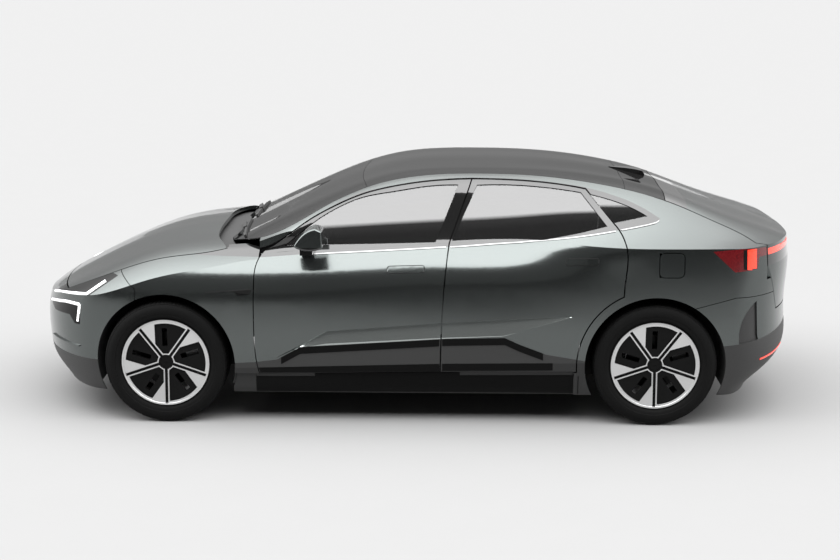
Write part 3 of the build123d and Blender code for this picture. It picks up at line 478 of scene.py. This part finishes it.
for side, s in sides.items():
    turn = lambda points: [(x, s * y, z) for x, y, z in points]
    bead(f"brow_light_{side}", turn(lamps["browLight"]), lamps["browWidth"], whiteGlow, "car_body")
    bead(f"brow_rise_{side}", turn(lamps["browRise"]), lamps["riseWidth"], whiteGlow, "car_body")
    housing, glowingReflector = lamps["lowHousing"], lamps["glowingReflector"]
    column, tailEdge = lamps["tailColumn"], lamps["tailEdges"]
    layBeside(f"low_housing_{side}", "front_bumper", s, housing["low"], housing["high"], lampDark, "car_body", "lamp",
              0.004, 40, 12)
    bead(f"low_light_{side}", turn(lamps["lowLight"]), lamps["lowWidth"], whiteGlow, "car_body")
    bead(f"low_drop_{side}", turn(lamps["lowDrop"]), lamps["lowWidth"], whiteGlow, "car_body")
    layBeside(f"tail_column_{side}", "tail_lamps", s, column["low"], column["high"], redGlow, "car_body", "tail_lamp",
              0.004, 8, 14)
    layBeside(f"tail_edge_{side}", "tail_lamps", s, tailEdge["low"], tailEdge["high"], lampDark, "car_body",
              "tail_lamp", 0.003, 6, 14)
    # painted glow: the rear reflector is no lamp, yet it takes the glowing red of the tail lamps
    layBeside(f"reflector_{side}", "rear_skirt", s, glowingReflector["low"], glowingReflector["high"], redGlow, "car_body",
              "tail_lamp", 0.004, 16, 2)
print("lamps laid")

fenderVent = {"line": [(-1.255, 0.8315), (-1.1146, 0.842), (-0.972, 0.8535)], "tall": 0.006,
              "wedgeLow": [(-1.085, 0.836), (-1.054, 0.811), (-0.985, 0.822)],
              "wedgeHigh": [(-1.088, 0.838), (-1.04, 0.842), (-0.972, 0.847)]}
bumperLine = {"line": [(-2.30, 0.463), (-2.20, 0.462), (-2.066, 0.461)], "tall": 0.007}
for side, s in sides.items():
    layBeside(f"vent_wedge_{side}", "front_fenders", s, fenderVent["wedgeLow"], fenderVent["wedgeHigh"], blackGloss,
              "car_body", "dark_trim", 0.004, 20, 4)
    layBeside(f"vent_line_{side}", "front_fenders", s, lowered(fenderVent["line"], fenderVent["tall"]),
              fenderVent["line"], bright, "car_body", "dark_trim", 0.006, 30, 2)
    layBeside(f"bumper_line_{side}", "front_bumper", s, lowered(bumperLine["line"], bumperLine["tall"]),
              bumperLine["line"], paint, "car_body", "paint", 0.012, 24, 2, 0.9)
print("fender trim laid")

wipers = {"driver": {"blade": [(-1.045, -0.66), (-1.085, -0.30), (-1.095, 0.02)],
                     "arm": [(-1.125, -0.06), (-1.09, -0.30)]},
          "passenger": {"blade": [(-1.07, 0.10), (-1.075, 0.40), (-1.05, 0.66)],
                        "arm": [(-1.11, 0.72), (-1.075, 0.40)]},
          "bladeWide": 0.014, "armWide": 0.022}
for name in ("driver", "passenger"):
    for part in ("blade", "arm"):
        line, wide = wipers[name][part], wipers[part + "Wide"]
        lay(f"wiper_{part}_{name}", "windscreen", "Z", sheet["above"], [(x - wide / 2, y) for x, y in line],
            [(x + wide / 2, y) for x, y in line], trim, "car_body", "dark_trim", wide, 30, 2, 0.9)
print("wipers laid")

tyre = {"steps": 96, "block": 0.003, "groove": 0.0016, "treadFrom": 0.366, "facing": 0.6,
        "line": [(0.020, 0.3778), (0.0215, 0.3715), (0.0285, 0.3715), (0.030, 0.3778), (0.056, 0.3772),
                 (0.0575, 0.371), (0.0645, 0.371), (0.066, 0.3768), (0.089, 0.3748), (0.105, 0.3715), (0.1145, 0.364),
                 (0.1212, 0.352), (0.1252, 0.338), (0.1262, 0.326), (0.1254, 0.312), (0.1232, 0.3105), (0.1224, 0.298),
                 (0.117, 0.284), (0.109, 0.274), (0.104, 0.2632), (0.094, 0.2632), (0.108, 0.310), (0.098, 0.350),
                 (0.050, 0.364)]}
profile = tyre["line"] + [(-w, r) for w, r in reversed(tyre["line"])]
for end, way in (("front", -1), ("rear", 1)):
    for side, s in sides.items():
        hub = (wheelSet["centre"] + way * wheelSet["halfBase"], s * wheelSet["track"], wheelSet["axle"])
        clearSelection()
        bpy.ops.mesh.primitive_circle_add(vertices=len(profile))
        ring = bpy.context.object
        ring.name = f"road_tyre_{end}_{side}"
        for vertex, (w, r) in zip(ring.data.vertices, profile):
            vertex.co = (hub[0] + r, hub[1] + w, hub[2])
        editAll(ring)
        bpy.ops.mesh.spin(steps=tyre["steps"], angle=2 * math.pi, center=hub, axis=(0, 1, 0))
        bpy.ops.mesh.select_all(action="SELECT")
        bpy.ops.mesh.remove_doubles(threshold=0.00002)
        bpy.ops.mesh.normals_make_consistent(inside=False)
        bpy.ops.mesh.select_mode(type="FACE")
        bpy.ops.mesh.select_all(action="DESELECT")
        endEdit()
        for polygon in ring.data.polygons:  # the rib tops become tread blocks
            c = polygon.center
            reach = math.hypot(c.x - hub[0], c.z - hub[2])
            spoke = (c.x - hub[0]) * polygon.normal.x + (c.z - hub[2]) * polygon.normal.z
            polygon.select = reach > tyre["treadFrom"] and spoke > tyre["facing"] * reach
        bpy.ops.object.mode_set(mode="EDIT")
        bpy.ops.mesh.inset(use_individual=True, thickness=tyre["groove"], depth=tyre["block"])
        bpy.ops.mesh.select_mode(type="VERT")
        endEdit()
        dress(ring, rubber, f"wheel_{end}_{side}", 30)
        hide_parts(f"tyre_{end}_{side}")
print("tyres made")

seats = {"voxel": 0.013, "shrink": -0.010, "pressure": 4.0, "frames": 20, "most": 0.011}


def padSeat(name, node):
    # a copy of the seat drawn in a little, then blown up as cloth by no more than the most allowed
    piece = bpy.data.objects.new(name, nodes[node].data.copy())
    bpy.context.collection.objects.link(piece)
    editAll(piece)
    bpy.ops.mesh.remove_doubles(threshold=0.0002)
    bpy.ops.transform.shrink_fatten(value=seats["shrink"])
    endEdit()
    addModifier(piece, "REMESH", mode="VOXEL", voxel_size=seats["voxel"])
    addModifier(piece, "SMOOTH", factor=0.5, iterations=6)
    start = [vertex.co.copy() for vertex in piece.data.vertices]
    cloth = piece.modifiers.new("cloth", "CLOTH")
    cloth.settings.use_pressure = True
    cloth.settings.uniform_pressure_force = seats["pressure"]
    cloth.settings.effector_weights.gravity = 0
    for step in range(1, seats["frames"] + 1):
        bpy.context.scene.frame_set(step)
    pick(piece)
    bpy.ops.object.modifier_apply(modifier="cloth")
    bpy.context.scene.frame_set(1)
    for vertex, place in zip(piece.data.vertices, start):
        move = vertex.co - place
        if move.length > seats["most"]:
            vertex.co = place + move * (seats["most"] / move.length)
    dress(piece, leather, "car_body", 180)
    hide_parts(node)


padSeat("front_seat_pads", "front_seats")
padSeat("rear_bench_pad", "rear_bench")
print("seats padded")

panes = {"bend": 0.504, "low": 0.567, "rise": 0.073, "lean": 0.04, "cuts": 2, "facing": 0.6, "quarterRaised": 0.05}


def clearPane(name, node, s, body, raised=0.0):
    # a copy of the window's solid, cut finer and shaded as one evenly bent pane
    piece = bpy.data.objects.new(name, nodes[node].data.copy())
    bpy.context.collection.objects.link(piece)
    editAll(piece)
    bpy.ops.mesh.remove_doubles(threshold=0.00005)
    bpy.ops.mesh.subdivide(number_cuts=panes["cuts"])
    endEdit()
    dress(piece, glass, body)
    mesh = piece.data
    ways = []
    for polygon in mesh.polygons:
        for corner in polygon.vertices:
            x, y, z = mesh.vertices[corner].co
            out = s if s else math.copysign(1, y)
            climb = z - raised - panes["low"] - panes["rise"] * x
            bend = Vector((panes["lean"] * x, out * (abs(y) + panes["bend"]), climb)).normalized()
            share = bend.dot(polygon.normal)
            onFace = abs(share) > panes["facing"]
            ways.append(bend * math.copysign(1, share) if onFace else polygon.normal.copy())
    mesh.normals_split_custom_set(ways)
    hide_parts(node)


for side, s in sides.items():
    clearPane(f"front_pane_{side}", f"window_front_{side}", s, f"front_door_{side}")
    clearPane(f"rear_pane_{side}", f"window_rear_{side}", s, f"rear_door_{side}")
clearPane("quarter_panes", "quarter_windows", 0, "car_body", panes["quarterRaised"])
print("windows set")

display = {"centre": (-0.505, 0.0, 0.985), "size": (0.018, 0.285, 0.19), "lean": 12, "edge": 0.008}
clearSelection()
bpy.ops.mesh.primitive_cube_add(size=1, location=display["centre"], rotation=(0, math.radians(-display["lean"]), 0))
panel = bpy.context.object
panel.name = "centre_display"
panel.scale = display["size"]
pick(panel)
bpy.ops.object.transform_apply(location=True, rotation=True, scale=True)
addModifier(panel, "BEVEL", width=display["edge"], segments=3)
dress(panel, blackGloss, "car_body")
print("cabin dressed")

studio = {"floorSize": 320, "floorGrey": 0.24, "strength": 6.2, "backdrop": 0.87,
          "flagStart": 3.4, "flagEnd": 6.5, "flagReach": 10, "flagGrey": 0.004,
          "sky": [(0, 0.02), (38, 0.025), (43, 0.05), (45, 1.0), (75, 0.97), (90, 0.84), (110, 0.64), (120, 0.53),
                  (130, 0.42), (140, 0.24), (150, 0.14), (163, 0.075), (180, 0.05)]}
clearSelection()
bpy.ops.mesh.primitive_plane_add(size=studio["floorSize"], location=(0, 0, 0))
floor = bpy.context.object
floor.name = "studioFloor"
floorFinish = Finish("studioFloor")
fx, fy, fz = floorFinish.axes()
mirrored = floorFinish.node("ShaderNodeLightPath", {}, {}, "Is Glossy Ray")
flagStops = [(studio["flagStart"] / studio["flagReach"], grey(0)), (studio["flagEnd"] / studio["flagReach"], grey(1))]
flag = floorFinish.ramp(-1 / studio["flagReach"] * fy, flagStops)  # a dark cloth on the near side, seen only mirrored
floorStops = [(0.2, grey(studio["floorGrey"] * 0.99)), (0.8, grey(studio["floorGrey"]))]
floorTone = floorFinish.ramp(floorFinish.noise(3), floorStops)
floorFinish.set(Base_Color=floorFinish.mix(mirrored * flag, floorTone, grey(studio["flagGrey"])), Roughness=0.95)
floorFinish.shader.inputs["Specular IOR Level"].default_value = 0.0
floor.data.materials.append(floorFinish.material)

world = bpy.data.worlds.new("studioWorld")
bpy.context.scene.world = world
world.use_nodes = True
sky = Tree(world.node_tree)
sx, sy, sz = sky.axes("Generated")
climb = sky.node("ShaderNodeMath", {"operation": "ARCTAN2"}, {0: sz, 1: -1 * sy}) * (1 / math.pi)  # near to far
lit = sky.ramp(climb, [(angle / 180, grey(level)) for angle, level in studio["sky"]])
seen = sky.node("ShaderNodeLightPath", {}, {}, "Is Camera Ray")
background = world.node_tree.nodes["Background"]
plain = grey(studio["backdrop"] / studio["strength"])
sky.feed(background.inputs["Color"], sky.mix(seen, lit, plain))
background.inputs["Strength"].default_value = studio["strength"]
bpy.context.scene.view_settings.view_transform = "Standard"

view = {"target": (0.025, 0.0, 0.697), "away": 10.5, "turn": 1.48, "rise": 12.3, "lens": 67.3}
turn, rise = math.radians(view["turn"]), math.radians(view["rise"])
camera = bpy.data.cameras.new("photoCamera")
camera.lens, camera.sensor_width = view["lens"], 36
cameraObject = bpy.data.objects.new("photoCamera", camera)
cameraObject.location = (view["target"][0] + view["away"] * math.sin(turn) * math.cos(rise),
                         view["target"][1] - view["away"] * math.cos(turn) * math.cos(rise),
                         view["target"][2] + view["away"] * math.sin(rise))
cameraObject.rotation_euler = (math.pi / 2 - rise, 0, turn)
bpy.context.collection.objects.link(cameraObject)
bpy.context.scene.camera = cameraObject
print("stage set")
